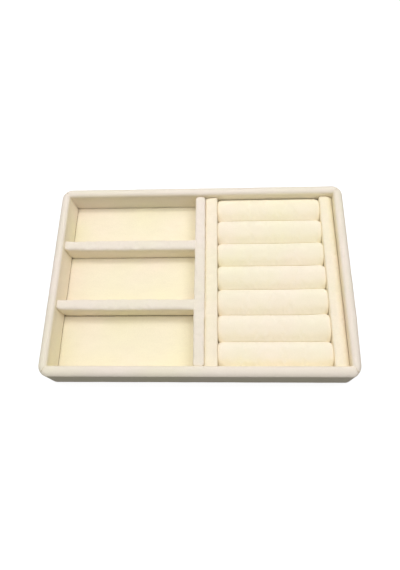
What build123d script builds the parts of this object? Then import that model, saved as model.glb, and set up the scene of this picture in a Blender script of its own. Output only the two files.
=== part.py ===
from build123d import *
import math
import os

# Velvet-covered jewelry tray: three open compartments on the left and a lift-out
# ring insert on the right, inside a padded frame with a rounded rim.
# Millimetres. The origin is the middle of the footprint, at the lowest face. X runs
# along the tray, Y from the front wall to the back wall and Z up.

# Frame
tray_length = 240.0
tray_width = 162.8
tray_height = 27.0
corner_radius = 8.0
wall_board_thickness = 4.0
wall_padding = 1.4
hem_thickness = 0.6
hem_radius = 1.0
rim_outer_radius = 5.2
rim_shoulder_radius = 0.9
rim_shoulder_slope = 57.0

# Bottom
underside_sheet_thickness = 0.8
underside_sheet_inset = 1.5
base_board_thickness = 3.0
base_board_clearance = 0.2
base_board_corner_radius = 2.0

# Dividers between the compartments
divider_height = 19.4
divider_board_thickness = 4.5
divider_padding = 2.0
divider_shoulder_radius = 2.0
divider_crown_rise = 2.4
divider_end_length = 2.2
divider_end_draw = 1.6
divider_end_drop = 0.8
long_divider_offset = 0.2
back_bay_depth = 42.0
middle_bay_depth = 44.2

# Floor pads of the compartments
floor_card_thickness = 1.2
floor_lining_thickness = 0.8
floor_lining_edge_bevel = 0.5
floor_pad_clearance = 0.3
floor_pad_wall_gap = 1.1
floor_pad_corner_radius = 2.0

# Ring insert
insert_seat_gap = 0.3
insert_board_thickness = 1.5
insert_board_corner_radius = 1.5
insert_left_clearance = 0.5
insert_right_clearance = 1.0
insert_end_clearance = 0.4

# Side rails of the ring insert
left_rail_width = 9.8
right_rail_width = 10.5
rail_height = 15.4
rail_shoulder_radius = 2.2
rail_crown_rise = 2.6
rail_end_length = 3.0
rail_end_draw = 0.8
rail_end_drop = 2.0
rail_cover_thickness = 0.9
rail_foam_end_margin = 4.0

# Ring rolls
ring_roll_count = 7
ring_roll_height = 13.9
ring_roll_gap = 0.3
ring_roll_rail_gap = 0.3
ring_roll_shoulder_radius = 2.2
ring_roll_crown_rise = 3.6
ring_roll_end_length = 5.0
ring_roll_end_draw = 1.2
ring_roll_end_drop = 3.0
ring_roll_cover_thickness = 0.9
ring_roll_foam_end_margin = 5.0

# Steps in which a padded bar rounds off towards each end
bar_end_steps = 5

# Places that follow from the sizes above
wall_thickness = wall_board_thickness + 2 * wall_padding
inner_half_length = tray_length / 2 - wall_thickness
inner_half_width = tray_width / 2 - wall_thickness
base_board_top = underside_sheet_thickness + base_board_thickness
divider_thickness = divider_board_thickness + 2 * divider_padding
long_divider_left = long_divider_offset - divider_thickness / 2
long_divider_right = long_divider_offset + divider_thickness / 2
back_divider_y = inner_half_width - back_bay_depth - divider_thickness / 2
front_divider_y = back_divider_y - divider_thickness - middle_bay_depth
insert_board_foot = base_board_top + insert_seat_gap
insert_board_top = insert_board_foot + insert_board_thickness
insert_half_width = inner_half_width - insert_end_clearance
insert_left = long_divider_right + insert_left_clearance
insert_right = inner_half_length - insert_right_clearance


def plan_box(left, right, front, back, radius, foot, height):
    """Upright slab with rounded plan corners between four plan lines."""
    middle = Location(((left + right) / 2, (front + back) / 2, foot))
    return extrude(middle * RectangleRounded(right - left, back - front, radius), height)


def padded_section(half_width, height, shoulder_radius, rise):
    """Face across a padded bar: flat foot, upright sides, tight shoulders, slow crown."""
    spring = height - rise
    shoulder_x = half_width - shoulder_radius
    crown_radius = (shoulder_x**2 + rise**2 - shoulder_radius**2) / (2 * (rise - shoulder_radius))
    crown_centre = height - crown_radius
    turn = math.atan2(spring - crown_centre, shoulder_x)
    half_shoulder = (
        shoulder_x + shoulder_radius * math.cos(turn / 2),
        spring + shoulder_radius * math.sin(turn / 2),
    )
    meeting = (
        crown_radius * math.cos(turn),
        crown_centre + crown_radius * math.sin(turn),
    )
    outline = Curve() + [
        Line((-half_width, 0), (half_width, 0)),
        Line((half_width, 0), (half_width, spring)),
        ThreePointArc((half_width, spring), half_shoulder, meeting),
        ThreePointArc(meeting, (0, height), (-meeting[0], meeting[1])),
        ThreePointArc(
            (-meeting[0], meeting[1]), (-half_shoulder[0], half_shoulder[1]), (-half_width, spring)
        ),
        Line((-half_width, spring), (-half_width, 0)),
    ]
    return make_face(outline)


def across_x(x, y, z):
    """Plane that a bar running along X passes through, with its foot at y and z."""
    return Plane(origin=(x, y, z), x_dir=(0, 1, 0), z_dir=(1, 0, 0))


def across_y(x, y, z):
    """Plane that a bar running along Y passes through, with its foot at x and z."""
    return Plane(origin=(x, y, z), x_dir=(-1, 0, 0), z_dir=(0, 1, 0))


def padded_bar(start, length, section_sizes, end_sizes, far_end_open=False):
    """Stuffed bar, drawn in and lowered in a quarter ellipse towards each end that is closed."""
    half_width, height, shoulder_radius, rise = section_sizes
    end_length, end_draw, end_drop = end_sizes
    full_section = padded_section(half_width, height, shoulder_radius, rise)
    near_end = []
    far_end = []
    for step in range(bar_end_steps + 1):
        turn = math.radians(90) * step / bar_end_steps
        station = end_length * (1 - math.cos(turn))
        slack = 1 - math.sin(turn)
        squeeze = 1 - slack * end_draw / half_width
        section = padded_section(
            half_width * squeeze, height - end_drop * slack,
            shoulder_radius * squeeze, rise * squeeze,
        )
        near_end.append(start.offset(station) * section)
        far_end.insert(0, start.offset(length - station) * section)
    if far_end_open:
        far_end = [start.offset(length) * full_section]
    return loft(near_end + far_end, ruled=True)


# Frame: four boards, mitred at the corners, each in a padded velvet sleeve
def quarter_plan(side):
    """Plan area of one wall, out to the tray's outline and split from its neighbours at 45 degrees."""
    x = tray_length / 2
    y = tray_width / 2
    ridge = x - y
    areas = {
        "front": [(-x, -y), (x, -y), (ridge, 0), (-ridge, 0)],
        "right": [(x, -y), (x, y), (ridge, 0)],
        "back": [(x, y), (-x, y), (-ridge, 0), (ridge, 0)],
        "left": [(-x, y), (-x, -y), (-ridge, 0)],
    }
    return make_face(Polyline(*areas[side], close=True))


def on_arc(centre, radius, turn):
    """Place on an arc of the wall section. The turn runs from straight up toward the outer face."""
    return (centre[0] - radius * math.sin(turn), centre[1] + radius * math.cos(turn))


def wall_section():
    """Section through a padded wall: the rim's crest lies toward the inside, its outer side slopes
    down to a tight shoulder, and the outer foot is a soft fold."""
    foot = underside_sheet_thickness
    slope = math.radians(rim_shoulder_slope)
    upright = math.radians(90)
    radius_step = rim_outer_radius - rim_shoulder_radius
    crest = rim_shoulder_radius + radius_step * math.sin(slope)
    outer_centre = (crest, tray_height - rim_outer_radius)
    shoulder_centre = (rim_shoulder_radius, outer_centre[1] + radius_step * math.cos(slope))
    inner_radius = wall_thickness - crest
    inner_centre = (crest, tray_height - inner_radius)
    meeting = on_arc(outer_centre, rim_outer_radius, slope)
    fold_middle = hem_radius * (1 - math.sqrt(0.5))
    outline = Curve() + [
        Line((hem_radius, foot), (wall_thickness, foot)),
        Line((wall_thickness, foot), (wall_thickness, inner_centre[1])),
        ThreePointArc(
            (wall_thickness, inner_centre[1]),
            on_arc(inner_centre, inner_radius, -upright / 2),
            (crest, tray_height),
        ),
        ThreePointArc((crest, tray_height), on_arc(outer_centre, rim_outer_radius, slope / 2), meeting),
        ThreePointArc(
            meeting,
            on_arc(shoulder_centre, rim_shoulder_radius, (slope + upright) / 2),
            (0, shoulder_centre[1]),
        ),
        Line((0, shoulder_centre[1]), (0, foot + hem_radius)),
        ThreePointArc((0, foot + hem_radius), (fold_middle, foot + fold_middle), (hem_radius, foot)),
    ]
    return make_face(outline)


def wall_run(side):
    """Line that the wall's outer face follows, from one mitre to the next, counterclockwise."""
    turned = side in ("right", "left")
    half_run = (tray_width if turned else tray_length) / 2
    half_reach = (tray_length if turned else tray_width) / 2
    angle = {"front": 0, "right": 90, "back": 180, "left": 270}[side]
    end_x = half_run - corner_radius
    centre_y = corner_radius - half_reach
    path = Curve() + [
        CenterArc((-end_x, centre_y), corner_radius, 225, 45),
        Line((-end_x, -half_reach), (end_x, -half_reach)),
        CenterArc((end_x, centre_y), corner_radius, 270, 45),
    ]
    return Rot(0, 0, angle) * path


def wall(side):
    """The board and the padded sleeve of one wall."""
    board_inset = 2 * wall_padding
    board_outline = RectangleRounded(
        tray_length - board_inset, tray_width - board_inset, corner_radius - wall_padding
    )
    board_opening = Rectangle(
        tray_length - board_inset - 2 * wall_board_thickness,
        tray_width - board_inset - 2 * wall_board_thickness,
    )
    board_foot = underside_sheet_thickness + hem_thickness
    board_height = tray_height - wall_padding - board_foot
    board_plan = (board_outline - board_opening) & quarter_plan(side)
    board = extrude(Pos(0, 0, board_foot) * board_plan, board_height)
    path = wall_run(side).wire()
    along = path % 0
    start = Plane(origin=path @ 0, x_dir=Vector(0, 0, 1).cross(along), z_dir=along)
    sleeve = sweep(start * wall_section(), path) - board
    return board, sleeve


# Bottom: a board let in between the walls, over a velvet sheet that closes the underside
def underside_sheet():
    half_length = tray_length / 2 - underside_sheet_inset
    half_width = tray_width / 2 - underside_sheet_inset
    return plan_box(
        -half_length, half_length, -half_width, half_width,
        corner_radius - underside_sheet_inset, 0, underside_sheet_thickness,
    )


def base_board():
    half_length = inner_half_length - base_board_clearance
    half_width = inner_half_width - base_board_clearance
    return plan_box(
        -half_length, half_length, -half_width, half_width,
        base_board_corner_radius, underside_sheet_thickness, base_board_thickness,
    )


# Dividers: boards that stand on the base board under padded velvet covers
def divider(start, length, far_end_open):
    """A divider's board and cover. The cover wraps the board's ends, but for an open far end."""
    section_sizes = (
        divider_thickness / 2, divider_height, divider_shoulder_radius, divider_crown_rise
    )
    end_sizes = (divider_end_length, divider_end_draw, divider_end_drop)
    cover = padded_bar(start, length, section_sizes, end_sizes, far_end_open)
    board_height = divider_height - divider_padding
    board_section = Pos(0, board_height / 2) * Rectangle(divider_board_thickness, board_height)
    board_length = length - divider_padding * (1 if far_end_open else 2)
    board = extrude(start.offset(divider_padding) * board_section, board_length)
    return board, cover - board


def long_divider():
    start = across_y(long_divider_offset, -inner_half_width, base_board_top)
    return divider(start, 2 * inner_half_width, far_end_open=False)


def cross_divider(y):
    start = across_x(-inner_half_length, y, base_board_top)
    return divider(start, long_divider_left + inner_half_length, far_end_open=True)


# Floor pads: a card wrapped in velvet lies in each compartment
def floor_pad(front, back):
    """The card and the lining of one compartment's floor, a little short of the left wall."""
    left = -inner_half_length + floor_pad_wall_gap
    right = long_divider_left - floor_pad_clearance
    lining = plan_box(
        left, right, front + floor_pad_clearance, back - floor_pad_clearance,
        floor_pad_corner_radius, base_board_top, floor_card_thickness + floor_lining_thickness,
    )
    top_edges = lining.faces().sort_by(Axis.Z)[-1].edges()
    lining = chamfer(top_edges, floor_lining_edge_bevel)
    inset = floor_pad_clearance + floor_lining_thickness
    card = plan_box(
        left + floor_lining_thickness, right - floor_lining_thickness, front + inset, back - inset,
        floor_pad_corner_radius - floor_lining_thickness, base_board_top, floor_card_thickness,
    )
    return card, lining - card


# Ring insert: a board that carries two rails and a row of ring rolls between them
def insert_board():
    return plan_box(
        insert_left, insert_right, -insert_half_width, insert_half_width,
        insert_board_corner_radius, insert_board_foot, insert_board_thickness,
    )


def rail(left, width):
    """Foam and velvet cover of a rail that runs from front to back."""
    middle = left + width / 2
    length = 2 * insert_half_width
    start = across_y(middle, -insert_half_width, insert_board_top)
    section_sizes = (width / 2, rail_height, rail_shoulder_radius, rail_crown_rise)
    end_sizes = (rail_end_length, rail_end_draw, rail_end_drop)
    cover = padded_bar(start, length, section_sizes, end_sizes)
    foam_section = padded_section(
        width / 2 - rail_cover_thickness, rail_height - rail_cover_thickness,
        rail_shoulder_radius - rail_cover_thickness, rail_crown_rise - rail_cover_thickness,
    )
    foam = extrude(start.offset(rail_foam_end_margin) * foam_section, length - 2 * rail_foam_end_margin)
    return foam, cover - foam


def ring_roll(index):
    """Foam and velvet cover of one roll, counted from the back wall."""
    pitch = 2 * insert_half_width / ring_roll_count
    middle = insert_half_width - pitch * (index + 1 / 2)
    left = insert_left + left_rail_width + ring_roll_rail_gap
    length = insert_right - right_rail_width - ring_roll_rail_gap - left
    half_width = (pitch - ring_roll_gap) / 2
    start = across_x(left, middle, insert_board_top)
    section_sizes = (half_width, ring_roll_height, ring_roll_shoulder_radius, ring_roll_crown_rise)
    end_sizes = (ring_roll_end_length, ring_roll_end_draw, ring_roll_end_drop)
    cover = padded_bar(start, length, section_sizes, end_sizes)
    foam_section = padded_section(
        half_width - ring_roll_cover_thickness, ring_roll_height - ring_roll_cover_thickness,
        ring_roll_shoulder_radius - ring_roll_cover_thickness,
        ring_roll_crown_rise - ring_roll_cover_thickness,
    )
    foam = extrude(
        start.offset(ring_roll_foam_end_margin) * foam_section,
        length - 2 * ring_roll_foam_end_margin,
    )
    return foam, cover - foam


nodes = {"underside_sheet": underside_sheet(), "base_board": base_board()}

for side in ("front", "right", "back", "left"):
    nodes[f"{side}_wall_board"], nodes[f"{side}_wall_sleeve"] = wall(side)

nodes["long_divider_board"], nodes["long_divider_cover"] = long_divider()
for name, y in (("back", back_divider_y), ("front", front_divider_y)):
    nodes[f"{name}_divider_board"], nodes[f"{name}_divider_cover"] = cross_divider(y)

half_divider = divider_thickness / 2
bays = {
    "back": (back_divider_y + half_divider, inner_half_width),
    "middle": (front_divider_y + half_divider, back_divider_y - half_divider),
    "front": (-inner_half_width, front_divider_y - half_divider),
}
for name, (front, back) in bays.items():
    nodes[f"{name}_floor_card"], nodes[f"{name}_floor_lining"] = floor_pad(front, back)

nodes["insert_board"] = insert_board()
nodes["left_rail_foam"], nodes["left_rail_cover"] = rail(insert_left, left_rail_width)
nodes["right_rail_foam"], nodes["right_rail_cover"] = rail(
    insert_right - right_rail_width, right_rail_width
)
for index in range(ring_roll_count):
    foam, cover = ring_roll(index)
    nodes[f"ring_roll_{index + 1}_foam"] = foam
    nodes[f"ring_roll_{index + 1}_cover"] = cover

os.makedirs("parts", exist_ok=True)
for name, shape in nodes.items():
    shape.label = name
    export_step(shape, f"parts/{name}.step")
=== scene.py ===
import math

import bmesh
import bpy
import numpy as np
from mathutils import Matrix, Vector
from mathutils.kdtree import KDTree


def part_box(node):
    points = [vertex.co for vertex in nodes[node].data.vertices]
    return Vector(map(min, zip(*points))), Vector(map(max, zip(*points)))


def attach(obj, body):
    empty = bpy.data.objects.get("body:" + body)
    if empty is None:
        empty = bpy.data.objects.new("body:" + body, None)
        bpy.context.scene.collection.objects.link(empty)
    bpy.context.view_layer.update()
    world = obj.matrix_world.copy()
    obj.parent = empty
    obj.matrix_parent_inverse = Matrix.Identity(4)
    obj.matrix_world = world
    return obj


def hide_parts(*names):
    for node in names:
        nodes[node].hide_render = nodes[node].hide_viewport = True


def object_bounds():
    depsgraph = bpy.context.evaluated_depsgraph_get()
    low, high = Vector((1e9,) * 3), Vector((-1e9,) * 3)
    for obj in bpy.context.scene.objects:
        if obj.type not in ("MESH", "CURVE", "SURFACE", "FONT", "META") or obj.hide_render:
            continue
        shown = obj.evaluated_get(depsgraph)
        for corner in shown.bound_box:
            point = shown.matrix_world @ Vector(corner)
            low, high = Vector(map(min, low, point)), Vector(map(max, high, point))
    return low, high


# Looks of the velvet jewelry tray: a padded frame with a round rim, three open
# compartments between padded dividers, and a lift-out insert with seven ring rolls.
# Metres. X runs along the tray, Y from the front wall to the back wall and Z up.

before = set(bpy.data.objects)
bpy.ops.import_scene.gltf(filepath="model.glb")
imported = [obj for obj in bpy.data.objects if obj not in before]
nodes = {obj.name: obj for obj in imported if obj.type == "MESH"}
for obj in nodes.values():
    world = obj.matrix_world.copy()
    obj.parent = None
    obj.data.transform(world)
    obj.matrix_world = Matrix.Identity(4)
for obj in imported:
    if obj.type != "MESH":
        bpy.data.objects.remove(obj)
cad_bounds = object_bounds()

MM = 0.001

# Camera, fitted to the tray's edges in a picture 400 pixels wide
PICTURE_WIDTH = 400.0
FOCAL_PIXELS = 475.56
SENSOR_WIDTH = 36.0
CAMERA_PLACE = (0.01934, -0.15557, 0.37173)
CAMERA_TURN = (22.861, 2.740, 0.734)

# Light: what the room gives from all round, and the lamps with their size, watts and place
ROOM_LIGHT = 0.277
LAMPS = [
    ("overhead_box", 0.7, 2.55, (0, 0, 1.0)),
    ("key_lamp", 0.09, 0.49, (0.02, 0.19, 0.6)),
    ("right_box", 0.5, 3.8, (0.53, 0.17, 1.07)),
    ("left_box", 1.2, 4.8, (-0.73, 0.28, 1.04)),
]

# Studio floor: half its side, how far it lies under the tray, how much it glows and how light it
# is where the camera sees it, and how light it is to all else
STAGE_HALF = 2.0
STAGE_DROP = 0.2 * MM
STAGE_GLOW = 0.86
STAGE_SEEN = 0.3
STAGE_UNSEEN = 0.17

# Velvet: sizes of its brushed patches, its streaks and its pile
PATCH_SIZE = 45 * MM
STREAK_SIZE = 7 * MM
PILE_SIZE = 0.55 * MM

# Levels of those patterns at which tones begin and are full: rosy and golden patches, pressed
# streaks and the pile's shades, and how light those shades are
ROSY_LEVELS = (0.5, 0.68)
GOLDEN_LEVELS = (0.5, 0.32)
STREAK_LEVELS = (0.3, 0.75)
PILE_LEVELS = (0.3, 0.7)
PILE_SHADES = (0.955, 1.03)

# How much of their tones pressed streaks and worn pile take at most, the roughness between and on
# the streaks, and how much smoother worn pile is
PRESSED_TONE = 0.35
WORN_TONE = 0.35
STREAK_ROUGHNESS = (0.97, 0.88)
WORN_POLISH = 0.1

# Relief of the velvet: strength, depth, and how high its streaks stand against its pile
VELVET_RELIEF = 0.35
VELVET_DEPTH = 0.25 * MM
STREAK_HEIGHT = 1.5

# Raw board: levels of its dark fibres and its flecks, how much of their tone flecks take at most,
# levels and values of its roughness, and the strength and depth of its relief
FIBRE_LEVELS = (0.35, 0.7)
FLECK_LEVELS = (0.66, 0.72)
FLECK_TONE = 0.7
BOARD_ROUGH_LEVELS = (0.3, 0.7)
BOARD_ROUGHNESS = (0.78, 0.95)
BOARD_RELIEF = 0.3
BOARD_DEPTH = 0.1 * MM

# Radius of fully bent cloth, and the shares of that bend at which the tone and the polish of worn
# pile begin and are full
WORN_RADIUS = 4 * MM
WORN_TONE_BENDS = (0.25, 1.0)
WORN_POLISH_BENDS = (0.3, 1.0)

# Cloth passes from flat to upright, where the velvet's side shading is painted, as the rise of its
# normal falls from the first to the second
UPRIGHT_RANGE = (0.75, 0.15)

# The rolls take painted shade on slopes facing the front and a painted highlight on slopes facing the
# back, in full where the normal turns this far to the front or the back
FACING_SHADE_TURN = 0.35

# On the back wall's inner face shade is painted on the left and a highlight on the right, and on the
# outer face the other way round. The painting grows as the rise of the normal falls from the first
# value to the second, and is full from this far off the middle.
BACK_SHADE_RANGE = (0.5, 0.2)
BACK_SHADE_FADE = 20 * MM

# The walls, with the cosine and sine of the turn from the front wall to each
WALL_TURNS = {"front": (1, 0), "right": (0, 1), "back": (-1, 0), "left": (0, -1)}

# Padded frame. Its section has a round rim, which meets the outer face in a small shoulder, and
# cloth that is turned in under the wall at the hem. Slopes are in degrees.
CORNER_RADIUS = 8 * MM
CORNER_STEPS = 8
OUTER_RIM_RADIUS = 5.2 * MM
SHOULDER_RADIUS = 0.9 * MM
SHOULDER_SLOPE = 57
SHOULDER_PROUD = 0.3 * MM
HEM_RADIUS = 1.0 * MM
HEM_DROP = 0.6 * MM
HEM_DEPTH = 1.4 * MM

# Spacing of points along a wall and on the straight stretches of its section
SLEEVE_SPACING = 1.0 * MM
STRAIGHT_SPACING = 2.0 * MM

# Seams at the mitres: how many degrees the sleeves reach past them, and the groove's depth and width
MITRE_OVERLAP = 2
MITRE_PINCH = 0.14 * MM
MITRE_WIDTH = 0.7 * MM

# Size and height of the uneven patches in the padding: of the sleeves, the blocks and the floors
SLEEVE_PATCH = 14 * MM
SLEEVE_UNEVENNESS = 0.16 * MM
BLOCK_PATCH = 12 * MM
BLOCK_UNEVENNESS = 0.1 * MM
FLOOR_PATCH = 25 * MM
FLOOR_UNEVENNESS = 0.08 * MM

# Inner faces: how far a wall's foot stands out into the tray and how much thinner its rim is, the
# heights over the floor between which that foot ends, how far a foot is set back, and how far the
# cloth is drawn in under the rim
WALL_LEAN = {"left": 1.3 * MM}
RIM_THINNING = {"left": 0.5 * MM}
LEAN_GAP = 0.6 * MM
LEAN_TOP = 0.96 * MM
FOOT_SETBACK = {"back": 0.6 * MM}
FACE_HOLLOW = 0.4 * MM

# How far the front wall bulges outward at its rim and at its foot, and how deep into its thickness
# the bulge reaches, as a share
FRONT_BULGE = 0.85 * MM
FRONT_FOOT = 0.3 * MM
BULGE_SHARE = 0.7

# How far the right wall is drawn in at its front end, and over what length
RIGHT_DRAW = 0.9 * MM
RIGHT_DRAW_LENGTH = 45 * MM

# The fold in the back wall's cloth: its ends in X and Z, its height and its width
FOLD_LINE = ((95 * MM, 17 * MM), (101.5 * MM, 24.5 * MM))
FOLD_HEIGHT = 0.5 * MM
FOLD_WIDTH = 1.1 * MM

# Forms of the stuffed blocks: radius of the edges, rise of the crown, and for the ends the length
# over which they draw in, how far they draw in and how far they drop. A floor's do neither.
LONG_DIVIDER_FORM = (1.2 * MM, 0.5 * MM, (3.4 * MM, 3.4 * MM, 1.0 * MM))
CROSS_DIVIDER_FORM = (1.6 * MM, 0.5 * MM, (2.2 * MM, 0.5 * MM, 0.5 * MM))
FLOOR_FORM = (0.45 * MM, 0.0, (1 * MM, 0.0, 0.0))
RAIL_FORM = (0.9 * MM, 0.5 * MM, (2.0 * MM, 0.5 * MM, 0.6 * MM))
ROLL_FORM = (0.4 * MM, 2.3 * MM, (5 * MM, 0.5 * MM, 0.3 * MM))
CROWN_POWER = 2.6

# Spacing of points on the blocks and on the floors, and how close together points are welded
BLOCK_SPACING = 0.8 * MM
FLOOR_SPACING = 0.9 * MM
WELD_DISTANCE = 0.01 * MM

# What is pressed out of shape at a block's top fades toward its foot with this power of the height
TOP_POWER = 3

# How far the cross dividers' velvet tucks into the long divider's rounded shoulder, and how much
# longer they are made before they are cut off there
DIVIDER_TUCK = 0.9 * MM
DIVIDER_OVERRUN = 6 * MM

# How far the cross dividers' padding bulges forward over their front faces, away from the left
# wall, how far it is drawn in beside that wall, and how far their feet are set back
DIVIDER_BULGE = 1.0 * MM
BULGE_LENGTH = 40 * MM
DIVIDER_DRAW = 1.0 * MM
DRAW_LENGTH = 6 * MM
DIVIDER_SETBACK = 0.65 * MM

# How far the cross dividers reach into the left wall's padding, and the groove along that wall
WALL_REACH = 1.0 * MM
GROOVE_DEPTH = 0.9 * MM
GROOVE_WIDTH = 1.0 * MM

# How far the long divider swells toward the left rail, away from the back wall
LONG_SWELL = 0.3 * MM
LONG_SWELL_LENGTH = 60 * MM

# How far a floor's velvet spreads sideways and forward, how far it stays off the left wall, and
# how far it reaches back under the padding
FLOOR_SPREAD = 0.2 * MM
FLOOR_GAP = 0.25 * MM
FLOOR_REACH = {"back": 0.3 * MM, "middle": 0.7 * MM, "front": 0.45 * MM}

# How far the rails swell, the left one toward the long divider and the right one toward the right
# wall, and how far both swell at their ends
RAIL_SWELL = {"left": 0.35 * MM, "right": 0.7 * MM}
RAIL_END_SWELL = 0.25 * MM

# How the right rail's cloth is pulled down beside the wall
PULL_WIDTH = 6.5 * MM
PULL_DEPTH = 3.0 * MM
PULL_POWER = 1.5

# How the left rail's back end slants: low beside the long divider, high beside the rolls
SLANT_LENGTH = 5 * MM
SLANT_RISE = 1.0 * MM

# Ring rolls: how far they swell against the rails, how far the creases between them lie from their
# even places, back to front, and the gap in a crease
ROLL_COUNT = 7
ROLL_SWELL = 0.35 * MM
CREASE_SHIFTS = (-0.1 * MM, -0.7 * MM, -0.2 * MM, 0.2 * MM, -0.3 * MM, -0.8 * MM)
CREASE_GAP = 0.03 * MM

# How far the rolls' edges are pulled back beside the right rail, from the first roll's back edge
# to the last roll's front edge, and over what length
EDGE_BENDS = (0, 0, 0.9 * MM, 0.5 * MM, 0.7 * MM, 1.0 * MM, 0.1 * MM, 0)
BEND_LENGTH = 30 * MM
BEND_POWER = 1.5

# How the rolls sink toward their ends, and the pits at their front and back corners, where their
# cloth is tucked in beside the rails: length, width, depth and how far the roll's end is drawn in
ROLL_END_LENGTH = 4 * MM
ROLL_END_DROP = 0.6 * MM
FRONT_PIT = (3.6 * MM, 2.4 * MM, 5.0 * MM, 1.2 * MM)
BACK_PIT = (1.8 * MM, 1.2 * MM, 3.0 * MM, 0.6 * MM)

# How tightly the padded pieces are stuffed, from 0 to 1: the frame, dividers and rails, the floors,
# whose velvet lies tight on its card, and the rolls
BAR_FILL = 0.9
FLOOR_FILL = 1.0
ROLL_FILL = 0.8

# Filling of the soft pieces. Coarse doubles, made larger for the solver, swell as cloth under
# pressure with their lower part held. A point of a piece moves as the nearest points of its double
# do, with none counting as nearer than the softness, and no further than the limit.
FILL_SCALE = 10
FILL_VOXEL = 15 * MM
FILL_PRESSURE = 4.0
FILL_QUALITY = 5
FILL_FRAMES = 20
FILL_SPARE_CLOTH = 0.02
FILL_NEIGHBOURS = 4
FILL_SOFTNESS = 0.1 * MM
FILL_LIMIT = 0.45 * MM

# Shares of a piece's height: up to the first its cloth is fixed, and from the second it is free
HELD_BAR = (0.6, 0.85)
HELD_RAIL = (0.75, 0.95)
HELD_ROLL = (0.8, 0.9)


def portion(values, start, end):
    """How far along the values are: 0 at the start or short of it, 1 at the end or past it."""
    return np.clip((values - start) / (end - start), 0, 1)


# Node trees
def add_node(tree, kind, inputs=None, **settings):
    """A new node with its settings, its input values and the links that reach it."""
    node = tree.nodes.new(kind)
    for name, value in settings.items():
        setattr(node, name, value)
    for key, value in (inputs or {}).items():
        socket = node.inputs[key]
        if isinstance(value, bpy.types.NodeSocket):
            tree.links.new(value, socket)
        else:
            socket.default_value = value
    return node


def number(tree, operation, *values, clamp=False):
    """Result of a sum on numbers."""
    node = add_node(tree, "ShaderNodeMath", dict(enumerate(values)), operation=operation)
    node.use_clamp = clamp
    return node.outputs[0]


def vector(tree, operation, *values):
    """Result of a sum on vectors, or on a vector and a number."""
    inputs = dict(enumerate(values))
    if operation == "SCALE":
        inputs = {0: values[0], "Scale": values[1]}
    return add_node(tree, "ShaderNodeVectorMath", inputs, operation=operation).outputs[0]


def parts_of(tree, value):
    """The three numbers of a vector."""
    return add_node(tree, "ShaderNodeSeparateXYZ", {0: value}).outputs


def joined(tree, x, y, z):
    """A vector from three numbers."""
    return add_node(tree, "ShaderNodeCombineXYZ", {0: x, 1: y, 2: z}).outputs[0]


def new_tree(name, sockets):
    """A geometry node tree with its named inputs."""
    tree = bpy.data.node_groups.new(name, "GeometryNodeTree")
    face = tree.interface
    face.new_socket("Geometry", in_out="OUTPUT", socket_type="NodeSocketGeometry")
    face.new_socket("Geometry", in_out="INPUT", socket_type="NodeSocketGeometry")
    for label, kind in sockets:
        face.new_socket(label, in_out="INPUT", socket_type=f"NodeSocket{kind}")
    return tree, tree.nodes.new("NodeGroupInput").outputs


def close_tree(tree, geometry, material):
    """Ends a tree in real, smooth geometry with its material."""
    real = add_node(tree, "GeometryNodeRealizeInstances", {0: geometry})
    covered = add_node(tree, "GeometryNodeSetMaterial", {
        "Geometry": real.outputs[0], "Material": material,
    })
    smooth = add_node(tree, "GeometryNodeSetShadeSmooth", {0: covered.outputs[0]})
    tree.links.new(smooth.outputs[0], tree.nodes.new("NodeGroupOutput").inputs[0])


def made(name, mesh, tree, values):
    """A plain mesh object that a tree makes from a starting mesh and its input values."""
    start = bpy.data.objects.new(f"{name}_start", mesh)
    bpy.context.scene.collection.objects.link(start)
    modifier = start.modifiers.new("shape", "NODES")
    modifier.node_group = tree
    sockets = {
        item.name: item.identifier
        for item in tree.interface.items_tree
        if item.item_type == "SOCKET" and item.in_out == "INPUT"
    }
    for label, value in values.items():
        modifier[sockets[label]] = value
    depsgraph = bpy.context.evaluated_depsgraph_get()
    shaped = bpy.data.meshes.new_from_object(start.evaluated_get(depsgraph))
    shaped.name = name
    start.modifiers.remove(modifier)
    bpy.data.objects.remove(start)
    piece = bpy.data.objects.new(name, shaped)
    bpy.context.scene.collection.objects.link(piece)
    return piece


def unevenness(tree, patch, depth, seed):
    """How far the padding stands out or sinks at a place, from a soft noise."""
    place = add_node(tree, "GeometryNodeInputPosition").outputs[0]
    soft = add_node(
        tree, "ShaderNodeTexNoise",
        {"Vector": place, "W": seed, "Scale": number(tree, "DIVIDE", 1.0, patch), "Detail": 2.0},
        noise_dimensions="4D",
    ).outputs[0]
    centred = number(tree, "SUBTRACT", soft, 0.5)
    return number(tree, "MULTIPLY", centred, number(tree, "MULTIPLY", depth, 2.0))


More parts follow.
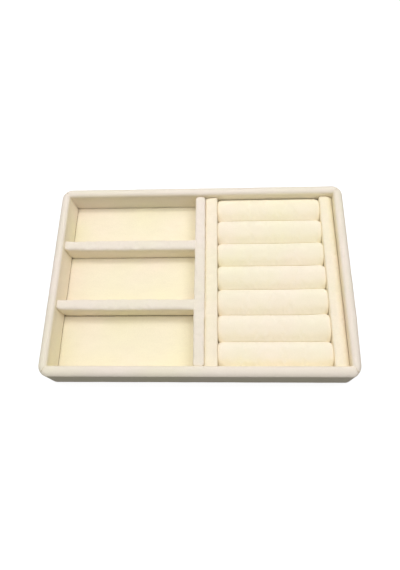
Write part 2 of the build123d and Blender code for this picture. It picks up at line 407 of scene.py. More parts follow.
def block_tree():
    """A stuffed block: round edges, a crowned top and ends that draw in and drop."""
    tree, given = new_tree("stuffed_block", [
        ("Size", "Vector"), ("Spacing", "Float"), ("Edge Radius", "Float"), ("Crown Rise", "Float"),
        ("End Length", "Float"), ("End Draw", "Float"), ("End Drop", "Float"),
        ("Patch", "Float"), ("Unevenness", "Float"), ("Seed", "Float"),
        ("Centre", "Vector"), ("Turn", "Float"), ("Material", "Material"),
    ])
    steps = vector(tree, "DIVIDE", given["Size"], joined(tree, *[given["Spacing"]] * 3))
    counts = [number(tree, "ADD", number(tree, "CEIL", n), 1.0) for n in parts_of(tree, steps)]
    cube = add_node(tree, "GeometryNodeMeshCube", {
        "Size": given["Size"], "Vertices X": counts[0], "Vertices Y": counts[1],
        "Vertices Z": counts[2],
    }).outputs[0]

    place = add_node(tree, "GeometryNodeInputPosition").outputs[0]
    half = vector(tree, "SCALE", given["Size"], 0.5)
    radius = joined(tree, *[given["Edge Radius"]] * 3)
    core = vector(tree, "SUBTRACT", half, radius)
    opposite = vector(tree, "SCALE", core, -1.0)
    inside = vector(tree, "MINIMUM", core, vector(tree, "MAXIMUM", place, opposite))
    outward = vector(tree, "NORMALIZE", vector(tree, "SUBTRACT", place, inside))
    rounded = vector(tree, "ADD", inside, vector(tree, "SCALE", outward, given["Edge Radius"]))
    cube = add_node(tree, "GeometryNodeSetPosition", {"Geometry": cube, "Position": rounded}).outputs[0]

    x, y, z = parts_of(tree, place)
    half_x, half_y, half_z = parts_of(tree, half)
    upper = number(tree, "DIVIDE", z, half_z, clamp=True)
    across = number(tree, "ABSOLUTE", number(tree, "DIVIDE", y, half_y))
    crown = number(tree, "MULTIPLY", number(tree, "POWER", across, CROWN_POWER), given["Crown Rise"])
    from_end = number(tree, "SUBTRACT", half_x, number(tree, "ABSOLUTE", x))
    away = number(tree, "DIVIDE", from_end, given["End Length"], clamp=True)
    inward = number(tree, "SUBTRACT", 1.0, away)
    arc = number(tree, "SQRT", number(tree, "SUBTRACT", 1.0, number(tree, "MULTIPLY", inward, inward)))
    slack = number(tree, "SUBTRACT", 1.0, arc)
    drop = number(tree, "MULTIPLY", slack, given["End Drop"])
    lower = number(tree, "MULTIPLY", upper, number(tree, "ADD", crown, drop))
    draw = number(tree, "MULTIPLY", slack, number(tree, "DIVIDE", given["End Draw"], half_y))
    narrow = number(tree, "MULTIPLY", y, number(tree, "SUBTRACT", 1.0, draw))
    stuffed = joined(tree, x, narrow, number(tree, "SUBTRACT", z, lower))
    cube = add_node(tree, "GeometryNodeSetPosition", {"Geometry": cube, "Position": stuffed}).outputs[0]

    facing = add_node(tree, "GeometryNodeInputNormal").outputs[0]
    swell = unevenness(tree, given["Patch"], given["Unevenness"], given["Seed"])
    push = vector(tree, "SCALE", facing, swell)
    cube = add_node(tree, "GeometryNodeSetPosition", {"Geometry": cube, "Offset": push}).outputs[0]
    turn = joined(tree, 0.0, 0.0, given["Turn"])
    cube = add_node(tree, "GeometryNodeTransform", {
        "Geometry": cube, "Translation": given["Centre"], "Rotation": turn,
    }).outputs[0]
    close_tree(tree, cube, given["Material"])
    return tree


def sleeve_tree():
    """A padded sleeve: a wall's section, swept along its run from mitre to mitre."""
    tree, given = new_tree("wall_sleeve", [
        ("Section", "Object"), ("Pinch", "Float"), ("Pinch Width", "Float"), ("Run", "Float"),
        ("Patch", "Float"), ("Unevenness", "Float"), ("Seed", "Float"), ("Material", "Material"),
    ])
    section = add_node(tree, "GeometryNodeObjectInfo", {"Object": given["Section"]}).outputs["Geometry"]
    section = add_node(tree, "GeometryNodeMeshToCurve", {0: section}).outputs[0]

    run = add_node(tree, "GeometryNodeMeshToCurve", {0: given["Geometry"]}).outputs[0]
    run = add_node(tree, "GeometryNodeSetCurveNormal", {0: run}, mode="Z_UP").outputs[0]
    along = add_node(tree, "GeometryNodeSplineParameter").outputs["Length"]
    run = add_node(tree, "GeometryNodeStoreNamedAttribute", {
        "Geometry": run, "Name": "along", "Value": along,
    }).outputs[0]
    sleeve = add_node(tree, "GeometryNodeCurveToMesh", {
        "Curve": run, "Profile Curve": section, "Fill Caps": True,
    }).outputs[0]

    station = add_node(tree, "GeometryNodeInputNamedAttribute", {"Name": "along"}).outputs[0]
    from_end = number(tree, "MINIMUM", station, number(tree, "SUBTRACT", given["Run"], station))
    away = number(tree, "DIVIDE", from_end, given["Pinch Width"], clamp=True)
    near = number(tree, "SUBTRACT", 1.0, away)
    pinch = number(tree, "MULTIPLY", number(tree, "MULTIPLY", near, near), given["Pinch"])
    swell = unevenness(tree, given["Patch"], given["Unevenness"], given["Seed"])
    facing = add_node(tree, "GeometryNodeInputNormal").outputs[0]
    push = vector(tree, "SCALE", facing, number(tree, "SUBTRACT", swell, pinch))
    sleeve = add_node(tree, "GeometryNodeSetPosition", {"Geometry": sleeve, "Offset": push}).outputs[0]
    close_tree(tree, sleeve, given["Material"])
    return tree


# Materials

# Sockets for colours in a mix node: the share, the two colours and the result
MIX_INPUTS = (0, 6, 7)
MIX_OUTPUT = 2


def new_material(name):
    """An empty node material with its shader."""
    material = bpy.data.materials.new(name)
    material.use_nodes = True
    tree = material.node_tree
    return material, tree, tree.nodes["Principled BSDF"]


def grain(tree, place, size, detail=2.0, roughness=0.5, stretch=(1, 1, 1)):
    """Noise from 0 to 1 with features of about a size in metres."""
    laid = add_node(tree, "ShaderNodeMapping", {"Vector": place, "Scale": stretch}).outputs[0]
    return add_node(tree, "ShaderNodeTexNoise", {
        "Vector": laid, "Scale": 1 / size, "Detail": detail, "Roughness": roughness,
    }).outputs["Fac"]


def spread(tree, value, low, high, to_low=0.0, to_high=1.0):
    """A value's range from low to high, stretched to a new range."""
    return add_node(tree, "ShaderNodeMapRange", {
        "Value": value, "From Min": low, "From Max": high, "To Min": to_low, "To Max": to_high,
    }).outputs[0]


def mixed(tree, *values):
    """A colour between two colours, from a share and the two."""
    node = add_node(tree, "ShaderNodeMix", dict(zip(MIX_INPUTS, values)), data_type="RGBA")
    return node.outputs[MIX_OUTPUT]


def velvet(name, body, rosy, golden, pressed, painted_side_shading, forward, painted_back_highlight, sheen, sheen_tint):
    """Short-pile velvet: brushed patches, streaks of pressed pile, the pile's grain, worn pile where
    the cloth bends, painted side shading where it stands upright, and painted shade where it faces the
    front and a painted highlight where it faces the back."""
    material, tree, shader = new_material(name)
    place = add_node(tree, "ShaderNodeTexCoord").outputs["Object"]
    bend = add_node(tree, "ShaderNodeAttribute", attribute_name="bend").outputs["Fac"]
    upright = add_node(tree, "ShaderNodeAttribute", attribute_name="upright").outputs["Fac"]
    nap = add_node(tree, "ShaderNodeAttribute", attribute_name="nap").outputs["Fac"]

    patches = grain(tree, place, PATCH_SIZE, detail=1.5)
    streaks = grain(tree, place, STREAK_SIZE, detail=2.5, stretch=(0.6, 1.3, 1))
    pile = grain(tree, place, PILE_SIZE, detail=3.0, roughness=0.65)
    colour = mixed(tree, spread(tree, patches, *ROSY_LEVELS), body, rosy)
    colour = mixed(tree, spread(tree, patches, *GOLDEN_LEVELS), colour, golden)
    brushed = spread(tree, streaks, *STREAK_LEVELS, 0.0, PRESSED_TONE)
    colour = mixed(tree, brushed, colour, pressed)
    worn = spread(tree, bend, *WORN_TONE_BENDS, 0.0, WORN_TONE)
    colour = mixed(tree, worn, colour, rosy)
    shade = spread(tree, pile, *PILE_LEVELS, *PILE_SHADES)
    tint = joined(tree, shade, shade, shade)
    colour = vector(tree, "MULTIPLY", colour, tint)
    plain = (1, 1, 1, 1)
    # Painted side shading: upright cloth takes a warmer tone than the tops, which catch the light
    colour = vector(tree, "MULTIPLY", colour, mixed(tree, upright, plain, painted_side_shading))
    # Painted shade where the cloth faces the front and a painted highlight where it faces the back
    colour = vector(tree, "MULTIPLY", colour, mixed(tree, spread(tree, nap, 0, 1), plain, forward))
    colour = vector(tree, "MULTIPLY", colour, mixed(tree, spread(tree, nap, 0, -1), plain, painted_back_highlight))
    tree.links.new(colour, shader.inputs["Base Color"])

    rough = number(tree, "SUBTRACT", spread(tree, streaks, *STREAK_LEVELS, *STREAK_ROUGHNESS),
                   spread(tree, bend, *WORN_POLISH_BENDS, 0.0, WORN_POLISH))
    tree.links.new(rough, shader.inputs["Roughness"])
    height = number(tree, "ADD", pile, number(tree, "MULTIPLY", streaks, STREAK_HEIGHT))
    bump = add_node(tree, "ShaderNodeBump", {
        "Strength": VELVET_RELIEF, "Distance": VELVET_DEPTH, "Height": height,
    })
    tree.links.new(bump.outputs[0], shader.inputs["Normal"])
    shader.inputs["Specular IOR Level"].default_value = 0.15
    shader.inputs["Sheen Weight"].default_value = sheen
    shader.inputs["Sheen Roughness"].default_value = 0.45
    shader.inputs["Sheen Tint"].default_value = sheen_tint
    return material


def fibre_board(name, body, dark, fleck, size):
    """Raw pressed board: fine fibres, flecks and a soft dull face."""
    material, tree, shader = new_material(name)
    place = add_node(tree, "ShaderNodeTexCoord").outputs["Object"]
    fibres = grain(tree, place, size, detail=4.0, roughness=0.7, stretch=(1, 0.45, 1))
    flecks = grain(tree, place, size / 3, detail=1.0)
    colour = mixed(tree, spread(tree, fibres, *FIBRE_LEVELS), body, dark)
    colour = mixed(tree, spread(tree, flecks, *FLECK_LEVELS, 0.0, FLECK_TONE), colour, fleck)
    tree.links.new(colour, shader.inputs["Base Color"])
    rough = spread(tree, fibres, *BOARD_ROUGH_LEVELS, *BOARD_ROUGHNESS)
    tree.links.new(rough, shader.inputs["Roughness"])
    bump = add_node(tree, "ShaderNodeBump", {
        "Strength": BOARD_RELIEF, "Distance": BOARD_DEPTH, "Height": fibres,
    })
    tree.links.new(bump.outputs[0], shader.inputs["Normal"])
    shader.inputs["Specular IOR Level"].default_value = 0.25
    return material


# The tones for upright cloth are painted side shading, those for cloth facing the front painted shade,
# and those for cloth facing the back a painted highlight
frame_velvet = velvet(
    "frame_velvet", body=(0.86, 0.785, 0.668, 1), rosy=(0.885, 0.79, 0.70, 1),
    golden=(0.86, 0.80, 0.64, 1), pressed=(0.80, 0.72, 0.60, 1), painted_side_shading=(1.05, 1.05, 0.96, 1),
    forward=(0.9, 0.91, 0.96, 1), painted_back_highlight=(1.07, 1.08, 1.08, 1),
    sheen=0.12, sheen_tint=(1.0, 0.95, 0.9, 1),
)
lining_velvet = velvet(
    "lining_velvet", body=(0.91, 0.833, 0.64, 1), rosy=(0.93, 0.825, 0.665, 1),
    golden=(0.905, 0.838, 0.615, 1), pressed=(0.85, 0.765, 0.575, 1), painted_side_shading=(1.0, 0.99, 0.95, 1),
    forward=(0.99, 0.975, 0.92, 1), painted_back_highlight=(1.025, 1.045, 1.08, 1),
    sheen=0.2, sheen_tint=(1.0, 0.96, 0.88, 1),
)
raw_board = fibre_board(
    "raw_fibreboard", body=(0.42, 0.30, 0.19, 1), dark=(0.30, 0.20, 0.12, 1),
    fleck=(0.55, 0.42, 0.28, 1), size=0.9 * MM,
)
grey_card = fibre_board(
    "grey_card", body=(0.42, 0.40, 0.36, 1), dark=(0.33, 0.31, 0.28, 1),
    fleck=(0.60, 0.57, 0.52, 1), size=1.4 * MM,
)


# Finishing of pieces
def mesh_arrays(mesh):
    """Points, normals and edges of a mesh."""
    points = np.zeros(len(mesh.vertices) * 3)
    normals = np.zeros(len(mesh.vertices) * 3)
    edges = np.zeros(len(mesh.edges) * 2, int)
    mesh.vertices.foreach_get("co", points)
    mesh.vertices.foreach_get("normal", normals)
    mesh.edges.foreach_get("vertices", edges)
    return points.reshape(-1, 3), normals.reshape(-1, 3), edges.reshape(-1, 2)


def set_points(mesh, points):
    """Moves a mesh's points to new places."""
    mesh.vertices.foreach_set("co", points.ravel())
    mesh.update()


def store(piece, name, values):
    """Stores one number for each point of a piece."""
    attribute = piece.data.attributes.new(name, "FLOAT", "POINT")
    attribute.data.foreach_set("value", values.astype(np.float32))


def store_bend(piece):
    """Stores how sharply the cloth bends: 1 on an edge as round as worn cloth or sharper, 0 where
    it is flat, and -1 in a fold."""
    points, normals, edges = mesh_arrays(piece.data)
    total = np.zeros(len(points))
    count = np.zeros(len(points))
    for a, b in ((0, 1), (1, 0)):
        step = points[edges[:, b]] - points[edges[:, a]]
        curve = -(step * normals[edges[:, a]]).sum(1) / np.maximum((step * step).sum(1), 1e-12)
        np.add.at(total, edges[:, a], curve)
        np.add.at(count, edges[:, a], 1)
    store(piece, "bend", np.clip(2 * total / np.maximum(count, 1) * WORN_RADIUS, -1, 1))


def store_upright(piece):
    """Stores how upright the cloth stands, for the velvet's painted side shading: 0 where it lies flat
    on top, 1 on a wall's face.
    """
    normals = mesh_arrays(piece.data)[1]
    store(piece, "upright", portion(normals[:, 2], *UPRIGHT_RANGE))


def store_facing_shade(piece, share):
    """Stores where the velvet's shade and highlight are painted: toward 1, painted shade, where the
    cloth faces the front, toward -1, painted highlight, where it faces the back. The share makes the
    painting weaker, or turns it round."""
    normals = mesh_arrays(piece.data)[1]
    store(piece, "nap", share * np.clip(-normals[:, 1] / FACING_SHADE_TURN, -1, 1))


def finish_mesh(piece, levels=1):
    """Welds doubles, turns the faces outward and subdivides the piece for good."""
    work = bmesh.new()
    work.from_mesh(piece.data)
    bmesh.ops.remove_doubles(work, verts=work.verts, dist=WELD_DISTANCE)
    bmesh.ops.recalc_face_normals(work, faces=work.faces)
    work.to_mesh(piece.data)
    work.free()
    if levels:
        smooth = piece.modifiers.new("soft", "SUBSURF")
        smooth.levels = levels
        smooth.render_levels = levels
        depsgraph = bpy.context.evaluated_depsgraph_get()
        rounder = bpy.data.meshes.new_from_object(piece.evaluated_get(depsgraph))
        piece.modifiers.remove(smooth)
        piece.data = rounder
        rounder.name = piece.name
    for polygon in piece.data.polygons:
        polygon.use_smooth = True
    store_bend(piece)
    store_upright(piece)


def swelling_double(piece, held):
    """A coarse closed double of a piece, made larger, as cloth that is held below, and the places
    where its points start."""
    mesh = piece.data.copy()
    mesh.transform(Matrix.Scale(FILL_SCALE, 4))
    double = bpy.data.objects.new(f"{piece.name}_double", mesh)
    bpy.context.scene.collection.objects.link(double)
    even = double.modifiers.new("even", "REMESH")
    even.mode = "VOXEL"
    even.voxel_size = FILL_VOXEL
    depsgraph = bpy.context.evaluated_depsgraph_get()
    double.data = bpy.data.meshes.new_from_object(double.evaluated_get(depsgraph))
    double.modifiers.remove(even)

    points = mesh_arrays(double.data)[0]
    rise = points[:, 2] - points[:, 2].min()
    fixed, free = held
    weights = portion(rise / rise.max(), free, fixed)
    group = double.vertex_groups.new(name="held")
    for index, weight in enumerate(weights):
        group.add([index], float(weight), "REPLACE")

    cloth = double.modifiers.new("filling", "CLOTH")
    cloth.settings.quality = FILL_QUALITY
    cloth.settings.vertex_group_mass = "held"
    cloth.settings.use_pressure = True
    cloth.settings.uniform_pressure_force = FILL_PRESSURE
    cloth.settings.shrink_min = -FILL_SPARE_CLOTH
    cloth.settings.effector_weights.gravity = 0
    cloth.collision_settings.use_collision = False
    cloth.collision_settings.use_self_collision = False
    cloth.point_cache.frame_start = 1
    cloth.point_cache.frame_end = FILL_FRAMES
    return double, points


def carry_over(piece, starts, moves):
    """Moves each point of a piece as the nearest points of its double moved."""
    tree = KDTree(len(starts))
    for index, start in enumerate(starts):
        tree.insert(start, index)
    tree.balance()
    points = mesh_arrays(piece.data)[0]
    for point in points:
        near = tree.find_n(point, FILL_NEIGHBOURS)
        nearness = np.array([1 / (distance + FILL_SOFTNESS) for _, _, distance in near])
        step = moves[[index for _, index, _ in near]]
        point += (step * nearness[:, None]).sum(0) / nearness.sum()
    set_points(piece.data, points)


def fill_pieces(pieces):
    """Swells the stuffed pieces all at once by a cloth simulation of their doubles."""
    scene = bpy.context.scene
    doubles = [(piece, *swelling_double(piece, held)) for piece, held in pieces]
    for step in range(1, FILL_FRAMES + 1):
        scene.frame_set(step)
    depsgraph = bpy.context.evaluated_depsgraph_get()
    for piece, double, starts in doubles:
        swollen = mesh_arrays(double.evaluated_get(depsgraph).data)[0]
        moves = (swollen - starts) / FILL_SCALE
        length = np.maximum(np.linalg.norm(moves, axis=1), 1e-9)
        moves *= (FILL_LIMIT * np.tanh(length / FILL_LIMIT) / length)[:, None]
        carry_over(piece, starts / FILL_SCALE, moves)
    for piece, double, starts in doubles:
        bpy.data.objects.remove(double)
    scene.frame_set(1)


def place_piece(piece, body, slot, replaced, fill):
    """Puts a padded piece on its body, in place of its nodes."""
    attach(piece, body)
    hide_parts(*replaced)


# Padded frame
def wall_path(side, lowest, highest, foot):
    """Outer line of a wall from one mitre to the next, as points with edges, and its length. It
    reaches a hair past the mitres, so that the seams close."""
    half_length = (highest.x - lowest.x) / 2
    half_width = (highest.y - lowest.y) / 2
    turned = side in ("right", "left")
    half_run, half_reach = (half_width, half_length) if turned else (half_length, half_width)
    end = half_run - CORNER_RADIUS
    arc_reach = 45 + MITRE_OVERLAP
    straight_steps = math.ceil(2 * end / SLEEVE_SPACING)
    line = []
    for step in range(CORNER_STEPS):
        angle = math.radians(270 - arc_reach * (1 - step / CORNER_STEPS))
        line.append((-end + CORNER_RADIUS * math.cos(angle),
                     CORNER_RADIUS - half_reach + CORNER_RADIUS * math.sin(angle)))
    for step in range(straight_steps + 1):
        line.append((-end + 2 * end * step / straight_steps, -half_reach))
    for step in range(1, CORNER_STEPS + 1):
        angle = math.radians(270 + arc_reach * step / CORNER_STEPS)
        line.append((end + CORNER_RADIUS * math.cos(angle),
                     CORNER_RADIUS - half_reach + CORNER_RADIUS * math.sin(angle)))
    cos, sin = WALL_TURNS[side]
    points = [(x * cos - y * sin, x * sin + y * cos, foot) for x, y in line]
    path = bpy.data.meshes.new(f"{side}_path")
    path.from_pydata(points, [(i, i + 1) for i in range(len(points) - 1)], [])
    run = sum((Vector(a) - Vector(b)).length for a, b in zip(points, points[1:]))
    return path, run


def section_arc(middle, radius, start, end, steps):
    """Points on an arc of a wall's section. Angles run from straight up toward the outer face."""
    angles = [math.radians(start + (end - start) * step / steps) for step in range(steps + 1)]
    return [(middle[0] - radius * math.sin(a), middle[1] + radius * math.cos(a)) for a in angles]


def between(start, end):
    """Points on a straight stretch of the section, close together near its ends."""
    length = math.dist(start, end)
    count = max(2, round(length / STRAIGHT_SPACING))
    shares = [(1 - math.cos(math.pi * step / count)) / 2 for step in range(1, count)]
    return [tuple(a + (b - a) * share for a, b in zip(start, end)) for share in shares]


def hollowed(face, low, high):
    """Points of an inner face, drawn in under the rim where the cloth lies tight on the board. The
    curve is deepest at two thirds of the height, where share ** 2 * (1 - share) is 4 / 27."""
    shares = [(rise - low) / (high - low) for _, rise in face]
    return [(depth - FACE_HOLLOW * 27 / 4 * share ** 2 * (1 - share), rise)
            for (depth, rise), share in zip(face, shares)]


def wall_section(side, thickness, height, floor):
    """Closed section of a padded wall, as depths from its outer face and heights over its foot."""
    slope = math.radians(SHOULDER_SLOPE)
    step = OUTER_RIM_RADIUS - SHOULDER_RADIUS
    rim_level = height - OUTER_RIM_RADIUS
    shoulder = (SHOULDER_RADIUS - SHOULDER_PROUD, rim_level + step * math.cos(slope))
    crest = shoulder[0] + step * math.sin(slope)
    inner_radius = thickness - RIM_THINNING.get(side, 0) - crest
    line = section_arc((crest, height - inner_radius), inner_radius, -90, 0, steps=8)[:-1]
    line += section_arc((crest, rim_level), OUTER_RIM_RADIUS, 0, SHOULDER_SLOPE, steps=12)[:-1]
    line += section_arc(shoulder, SHOULDER_RADIUS, SHOULDER_SLOPE, 90, steps=2)
    hem = section_arc((HEM_RADIUS, HEM_RADIUS - HEM_DROP), HEM_RADIUS, 90, 180, steps=6)
    line += between(line[-1], hem[0]) + hem + [(HEM_DEPTH, 0)]
    foot_depth = thickness - FOOT_SETBACK.get(side, 0)
    inner_foot = (foot_depth, floor)
    line += between(line[-1], (foot_depth, 0)) + [(foot_depth, 0)]
    if side in WALL_LEAN:
        lean_depth = thickness + WALL_LEAN[side]
        line += [inner_foot, (lean_depth, floor + LEAN_GAP)]
        inner_foot = (lean_depth, floor + LEAN_TOP)
    line += [inner_foot] + hollowed(between(inner_foot, line[0]), inner_foot[1], line[0][1])
    count = len(line)
    edges = [(i, (i + 1) % count) for i in range(count)]
    section = bpy.data.meshes.new(f"{side}_section")
    section.from_pydata([(-depth, -rise, 0) for depth, rise in line], edges, [])
    outline = bpy.data.objects.new(f"{side}_section", section)
    bpy.context.scene.collection.objects.link(outline)
    return outline


def shape_front(piece, thickness):
    """Bulges the front wall outward as far as its corners, and draws in the right wall's front end.
    It runs on every sleeve, as the corners are shared."""
    lowest, highest = cad_bounds
    points = mesh_arrays(piece.data)[0]
    flat = points[:, :2]
    corner = np.array([highest.x - CORNER_RADIUS, highest.y - CORNER_RADIUS])
    outward = flat - np.clip(flat, -corner, corner)
    reach = np.maximum(np.linalg.norm(outward, axis=1), 1e-9)
    outer = portion(CORNER_RADIUS - reach, BULGE_SHARE * thickness, 0)
    facing = np.clip(-outward[:, 1] / reach, 0, 1) ** 2
    rise = portion(points[:, 2], 0, highest.z)
    points[:, 1] -= facing * outer * (FRONT_FOOT + (FRONT_BULGE - FRONT_FOOT) * rise)
    near_front = portion(points[:, 1], lowest.y + RIGHT_DRAW_LENGTH, lowest.y)
    to_right = portion(points[:, 0], highest.x - thickness, highest.x)
    points[:, 0] -= RIGHT_DRAW * near_front * to_right
    set_points(piece.data, points)


def tuck_fold(piece):
    """A small slanting fold in the back wall's cloth, tucked in beside the right rail's end."""
    points, normals, _ = mesh_arrays(piece.data)
    (x0, z0), (x1, z1) = FOLD_LINE
    run, rise = x1 - x0, z1 - z0
    length = math.hypot(run, rise)
    along = ((points[:, 0] - x0) * run + (points[:, 2] - z0) * rise) / length ** 2
    aside = ((points[:, 0] - x0) * rise - (points[:, 2] - z0) * run) / length
    ridge = FOLD_HEIGHT * np.exp(-(aside / FOLD_WIDTH) ** 2) * np.clip(4 * along * (1 - along), 0, 1)
    points[:, 1] -= ridge * np.clip(-normals[:, 1], 0, 1)
    set_points(piece.data, points)


def wall_sleeve(side, tree):
    """The padded sleeve of a wall."""
    lowest, highest = cad_bounds
    box_low, box_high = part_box(f"{side}_wall_sleeve")
    left_low, left_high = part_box("left_wall_sleeve")
    thickness = left_high.x - left_low.x
    path, run = wall_path(side, lowest, highest, box_low.z)
    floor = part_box("middle_floor_lining")[1].z - box_low.z
    section = wall_section(side, thickness, box_high.z - box_low.z, floor)
    piece = made(f"{side}_sleeve", path, tree, {
        "Section": section, "Pinch": MITRE_PINCH, "Pinch Width": MITRE_WIDTH, "Run": run,
        "Patch": SLEEVE_PATCH, "Unevenness": SLEEVE_UNEVENNESS, "Seed": 1.0, "Material": frame_velvet,
    })
    bpy.data.objects.remove(section)
    shape_front(piece, thickness)
    if side == "back":
        tuck_fold(piece)
    finish_mesh(piece)
    points, normals, _ = mesh_arrays(piece.data)
    # Painted shade on the left of the back wall's inner face and a painted highlight on its right
    back_shade_share = np.clip(-points[:, 0] / BACK_SHADE_FADE, -1, 1) * portion(normals[:, 2], *BACK_SHADE_RANGE)
    store_facing_shade(piece, back_shade_share if side == "back" else 0)
    place_piece(piece, "tray", "velvet_frame", [f"{side}_wall_sleeve"], BAR_FILL)


# Padded bars and pads
def stuffed_block(name, tree, low, high, material, seed, form, along_y=False,
                  patch=BLOCK_PATCH, uneven=BLOCK_UNEVENNESS, spacing=BLOCK_SPACING):
    """A stuffed block that fills the box from low to high. Its crown runs along X, or along Y."""
    size = high - low
    edge, crown, (end_length, end_draw, end_drop) = form
    return made(name, bpy.data.meshes.new(f"{name}_none"), tree, {
        "Size": (size.y, size.x, size.z) if along_y else tuple(size), "Spacing": spacing,
        "Edge Radius": edge, "Crown Rise": crown, "End Length": end_length, "End Draw": end_draw,
        "End Drop": end_drop, "Patch": patch, "Unevenness": uneven, "Seed": seed,
        "Centre": tuple((low + high) / 2), "Turn": math.radians(90) if along_y else 0.0,
        "Material": material,
    })


def cut_flat(piece, place, normal):
    """Cuts off what lies beyond a plane and closes the cut."""
    work = bmesh.new()
    work.from_mesh(piece.data)
    cut = bmesh.ops.bisect_plane(
        work, geom=work.verts[:] + work.edges[:] + work.faces[:], plane_co=place, plane_no=normal,
        clear_outer=True,
    )
    rim = [item for item in cut["geom_cut"] if isinstance(item, bmesh.types.BMEdge)]
    bmesh.ops.holes_fill(work, edges=rim)
    work.to_mesh(piece.data)
    work.free()


# A stuffed piece comes with where it is placed and how its cloth is held for the filling
def long_divider(tree):
    """The cushion of the long divider."""
    low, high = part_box("long_divider_cover")
    piece = stuffed_block("long_divider_cushion", tree, low, high, frame_velvet, seed=11.0,
                          form=LONG_DIVIDER_FORM, along_y=True)
    points = mesh_arrays(piece.data)[0]
    to_right = portion(points[:, 0], low.x, high.x)
    from_back = portion(points[:, 1], high.y, high.y - LONG_SWELL_LENGTH)
    points[:, 0] += LONG_SWELL * to_right * from_back
    set_points(piece.data, points)
    return piece, ("tray", "velvet_frame", ["long_divider_cover"], BAR_FILL), HELD_BAR


def cross_divider(name, tree, seed):
    """The cushion of a cross divider, from inside the left wall's padding to the long divider."""
    low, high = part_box(f"{name}_divider_cover")
    wall = low.x
    low.x -= WALL_REACH
    high.x += DIVIDER_TUCK
    reach = Vector((high.x + DIVIDER_OVERRUN, high.y, high.z))
    piece = stuffed_block(f"{name}_divider_cushion", tree, low, reach, frame_velvet, seed=seed,
                          form=CROSS_DIVIDER_FORM)
    cut_flat(piece, (high.x, 0, 0), (1, 0, 0))
    points = mesh_arrays(piece.data)[0]
    forward = portion(points[:, 1], high.y, low.y)
    upper = portion(points[:, 2], low.z, high.z)
    lean = WALL_LEAN["left"] * (1 - upper) - RIM_THINNING["left"] * upper
    from_wall = np.maximum(points[:, 0] - wall - lean, 0)
    bulge = DIVIDER_BULGE * np.sqrt(portion(from_wall, 0, BULGE_LENGTH))
    draw = DIVIDER_DRAW * portion(from_wall, DRAW_LENGTH, 0) ** 2
    groove = GROOVE_DEPTH * np.exp(-from_wall / GROOVE_WIDTH)
    setback = DIVIDER_SETBACK * (1 - upper) ** 2
    points[:, 1] += forward * (upper ** TOP_POWER * (draw - bulge) + setback + groove)
    set_points(piece.data, points)
    return piece, ("tray", "velvet_frame", [f"{name}_divider_cover"], BAR_FILL), HELD_BAR


def floor_pad(name, tree, seed):
    """The velvet of a compartment's floor. It isn't filled, so it is finished and placed here."""
    low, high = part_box(f"{name}_floor_lining")
    low.x += FLOOR_GAP
    low.y -= FLOOR_SPREAD
    high.x += FLOOR_SPREAD
    high.y += FLOOR_REACH[name]
    piece = stuffed_block(f"{name}_floor_velvet", tree, low, high, lining_velvet, seed=seed,
                          form=FLOOR_FORM, patch=FLOOR_PATCH, uneven=FLOOR_UNEVENNESS,
                          spacing=FLOOR_SPACING)
    finish_mesh(piece, levels=0)
    place_piece(piece, "tray", "velvet_lining", [f"{name}_floor_lining"], FLOOR_FILL)


def rail(side, tree, seed):
    """The cushion of a side rail. The right one slopes off toward the wall, where its cloth is
    pulled down, and the left one's back end slants."""
    low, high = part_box(f"{side}_rail_cover")
    low.y -= RAIL_END_SWELL
    high.y += RAIL_END_SWELL
    if side == "left":
        low.x -= RAIL_SWELL[side]
    else:
        high.x += RAIL_SWELL[side]
    piece = stuffed_block(f"{side}_rail_cushion", tree, low, high, lining_velvet, seed=seed,
                          form=RAIL_FORM, along_y=True)
    points = mesh_arrays(piece.data)[0]
    top = portion(points[:, 2], low.z, high.z) ** TOP_POWER
    if side == "left":
        near_end = portion(points[:, 1], high.y - SLANT_LENGTH, high.y)
        across = 2 * portion(points[:, 0], low.x, high.x) - 1
        points[:, 2] += SLANT_RISE * across * near_end ** 2 * top
    else:
        near_wall = portion(points[:, 0], high.x - PULL_WIDTH, high.x)
        points[:, 2] -= PULL_DEPTH * near_wall ** PULL_POWER * top
    set_points(piece.data, points)
    replaced = [f"{side}_rail_cover", f"{side}_rail_foam"]
    return piece, ("ring_insert", "velvet_lining", replaced, BAR_FILL), HELD_RAIL


def ring_roll(place, tree):
    """One of the ring rolls, counted from the back. It is squeezed between its neighbours."""
    cover = f"ring_roll_{place}_cover"
    low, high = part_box(cover)
    if place > 1:
        crease = (high.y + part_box(f"ring_roll_{place - 1}_cover")[0].y) / 2
        high.y = crease + CREASE_SHIFTS[place - 2] - CREASE_GAP / 2
    if place < ROLL_COUNT:
        crease = (low.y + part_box(f"ring_roll_{place + 1}_cover")[1].y) / 2
        low.y = crease + CREASE_SHIFTS[place - 1] + CREASE_GAP / 2
    low.x -= ROLL_SWELL
    high.x += ROLL_SWELL
    piece = stuffed_block(f"ring_roll_{place}", tree, low, high, lining_velvet, seed=30.0 + place,
                          form=ROLL_FORM)
    points = mesh_arrays(piece.data)[0]
    upper = portion(points[:, 2], low.z, high.z)
    top = upper ** TOP_POWER
    forward = portion(points[:, 1], high.y, low.y)
    for end, inward in ((low.x, 1), (high.x, -1)):
        from_end = np.abs(points[:, 0] - end)
        points[:, 2] -= ROLL_END_DROP * top * portion(from_end, ROLL_END_LENGTH, 0) ** 2
        for (length, width, depth, pinch), side in ((FRONT_PIT, low.y), (BACK_PIT, high.y)):
            near = np.exp(-np.hypot(from_end / length, (points[:, 1] - side) / width))
            points[:, 2] -= depth * top * near
            points[:, 0] += inward * pinch * upper * near
    back_bend, front_bend = EDGE_BENDS[place - 1:place + 1]
    near_right = portion(points[:, 0], high.x - BEND_LENGTH, high.x) ** BEND_POWER
    points[:, 1] += near_right * (back_bend + (front_bend - back_bend) * forward)
    set_points(piece.data, points)
    replaced = [cover, f"ring_roll_{place}_foam"]
    return piece, ("ring_insert", "velvet_lining", replaced, ROLL_FILL), HELD_ROLL


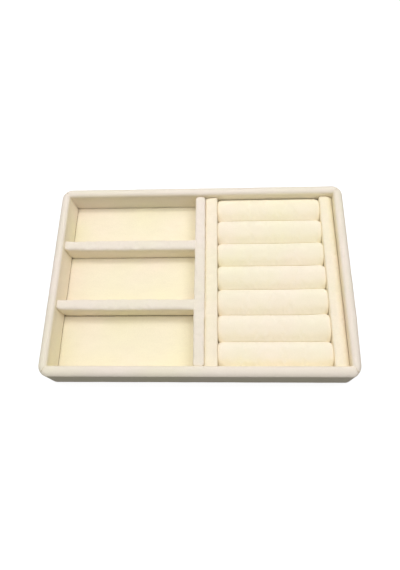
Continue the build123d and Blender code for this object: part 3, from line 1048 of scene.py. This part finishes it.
# Underside
def underside():
    """The cloth under the tray, flat, with its corners rounded to follow the frame's."""
    low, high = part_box("underside_sheet")
    radius = CORNER_RADIUS - (cad_bounds[1].x - high.x)
    work = bmesh.new()
    bmesh.ops.create_cube(work, size=1)
    middle = (low + high) / 2
    for vertex in work.verts:
        vertex.co = Vector(c * s for c, s in zip(vertex.co, high - low)) + middle
    half_depth = (high.z - low.z) / 2
    uprights = [e for e in work.edges if abs(e.verts[0].co.z - e.verts[1].co.z) > half_depth]
    bmesh.ops.bevel(work, geom=uprights, offset=radius, segments=CORNER_STEPS, affect="EDGES",
                    profile=0.5)
    mesh = bpy.data.meshes.new("underside_cloth")
    work.to_mesh(mesh)
    work.free()
    piece = bpy.data.objects.new("underside_cloth", mesh)
    bpy.context.scene.collection.objects.link(piece)
    mesh.materials.append(frame_velvet)
    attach(piece, "tray")
    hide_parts("underside_sheet")


# Studio floor, lamps and camera
def studio_floor():
    """A plain floor a hair under the tray."""
    signs = ((-1, -1), (1, -1), (1, 1), (-1, 1))
    corners = [(x * STAGE_HALF, y * STAGE_HALF, -STAGE_DROP) for x, y in signs]
    mesh = bpy.data.meshes.new("studio_floor")
    mesh.from_pydata(corners, [], [(0, 1, 2, 3)])
    floor = bpy.data.objects.new("studio_floor", mesh)
    bpy.context.scene.collection.objects.link(floor)
    mesh.materials.append(floor_material())


def studio_world():
    """White where the camera sees it, and the dimmer light of a room to all else."""
    world = bpy.data.worlds.new("studio_world")
    bpy.context.scene.world = world
    world.use_nodes = True
    tree = world.node_tree
    strength = spread(tree, seen_directly(tree), 0.0, 1.0, ROOM_LIGHT, 1.0)
    background = tree.nodes["Background"]
    background.inputs["Color"].default_value = (1, 1, 1, 1)
    tree.links.new(strength, background.inputs["Strength"])


def studio_lamp(name, size, watts, place):
    """A square soft box that hangs at a place and faces the tray."""
    lamp = bpy.data.lights.new(name, "AREA")
    lamp.shape = "SQUARE"
    lamp.size = size
    lamp.energy = watts
    holder = bpy.data.objects.new(name, lamp)
    bpy.context.scene.collection.objects.link(holder)
    holder.location = place
    holder.rotation_euler = (-Vector(place)).to_track_quat("-Z", "Y").to_euler()


def seen_directly(tree):
    """1 for what the camera sees, also in a mirror or through glass."""
    light_path = add_node(tree, "ShaderNodeLightPath").outputs
    seen = number(tree, "MAXIMUM", light_path["Is Camera Ray"], light_path["Is Glossy Ray"])
    return number(tree, "MAXIMUM", seen, light_path["Is Transmission Ray"])


def floor_material():
    """White with the tray's shadow where the camera sees it, and a plain grey to all else."""
    material = bpy.data.materials.new("studio_floor")
    material.use_nodes = True
    tree = material.node_tree
    tree.nodes.remove(tree.nodes["Principled BSDF"])
    glow = add_node(tree, "ShaderNodeEmission", {"Color": (1, 1, 1, 1), "Strength": STAGE_GLOW})
    seen = add_node(tree, "ShaderNodeBsdfDiffuse", {"Color": (STAGE_SEEN, STAGE_SEEN, STAGE_SEEN, 1)})
    unseen = add_node(tree, "ShaderNodeBsdfDiffuse", {
        "Color": (STAGE_UNSEEN, STAGE_UNSEEN, STAGE_UNSEEN, 1),
    })
    shown = add_node(tree, "ShaderNodeAddShader", {0: glow.outputs[0], 1: seen.outputs[0]})
    choice = add_node(tree, "ShaderNodeMixShader", {
        0: seen_directly(tree), 1: unseen.outputs[0], 2: shown.outputs[0],
    }).outputs[0]
    tree.links.new(choice, tree.nodes["Material Output"].inputs[0])
    return material


def camera():
    """The camera of the photograph."""
    eye = bpy.data.cameras.new("camera")
    eye.sensor_fit = "HORIZONTAL"
    eye.sensor_width = SENSOR_WIDTH
    eye.lens = FOCAL_PIXELS * SENSOR_WIDTH / PICTURE_WIDTH
    eye.clip_start = 0.01
    holder = bpy.data.objects.new("camera", eye)
    bpy.context.scene.collection.objects.link(holder)
    holder.location = CAMERA_PLACE
    holder.rotation_euler = [math.radians(angle) for angle in CAMERA_TURN]
    bpy.context.scene.camera = holder


camera()
studio_floor()
studio_world()
for name, size, watts, place in LAMPS:
    studio_lamp(name, size, watts, place)
bpy.context.scene.view_settings.view_transform = "Standard"

blocks = block_tree()
sleeves = sleeve_tree()
for side in WALL_TURNS:
    wall_sleeve(side, sleeves)
for index, name in enumerate(FLOOR_REACH):
    floor_pad(name, blocks, seed=20.0 + index)
stuffed = [
    long_divider(blocks),
    cross_divider("back", blocks, seed=12.0),
    cross_divider("front", blocks, seed=13.0),
    rail("left", blocks, seed=24.0),
    rail("right", blocks, seed=25.0),
]
for place in range(1, ROLL_COUNT + 1):
    stuffed.append(ring_roll(place, blocks))
fill_pieces([(piece, held) for piece, _, held in stuffed])
for piece, placing, _ in stuffed:
    finish_mesh(piece)
    # Only the rolls take painted shade on front-facing and a painted highlight on back-facing slopes
    store_facing_shade(piece, 1 if piece.name.startswith("ring_roll") else 0)
    place_piece(piece, *placing)
underside()

# The CAD nodes that nothing has replaced are the boards and cards
for name, node in nodes.items():
    if node.hide_render:
        continue
    covering = grey_card if name.endswith("_card") or name == "insert_board" else raw_board
    node.data.materials.clear()
    node.data.materials.append(covering)
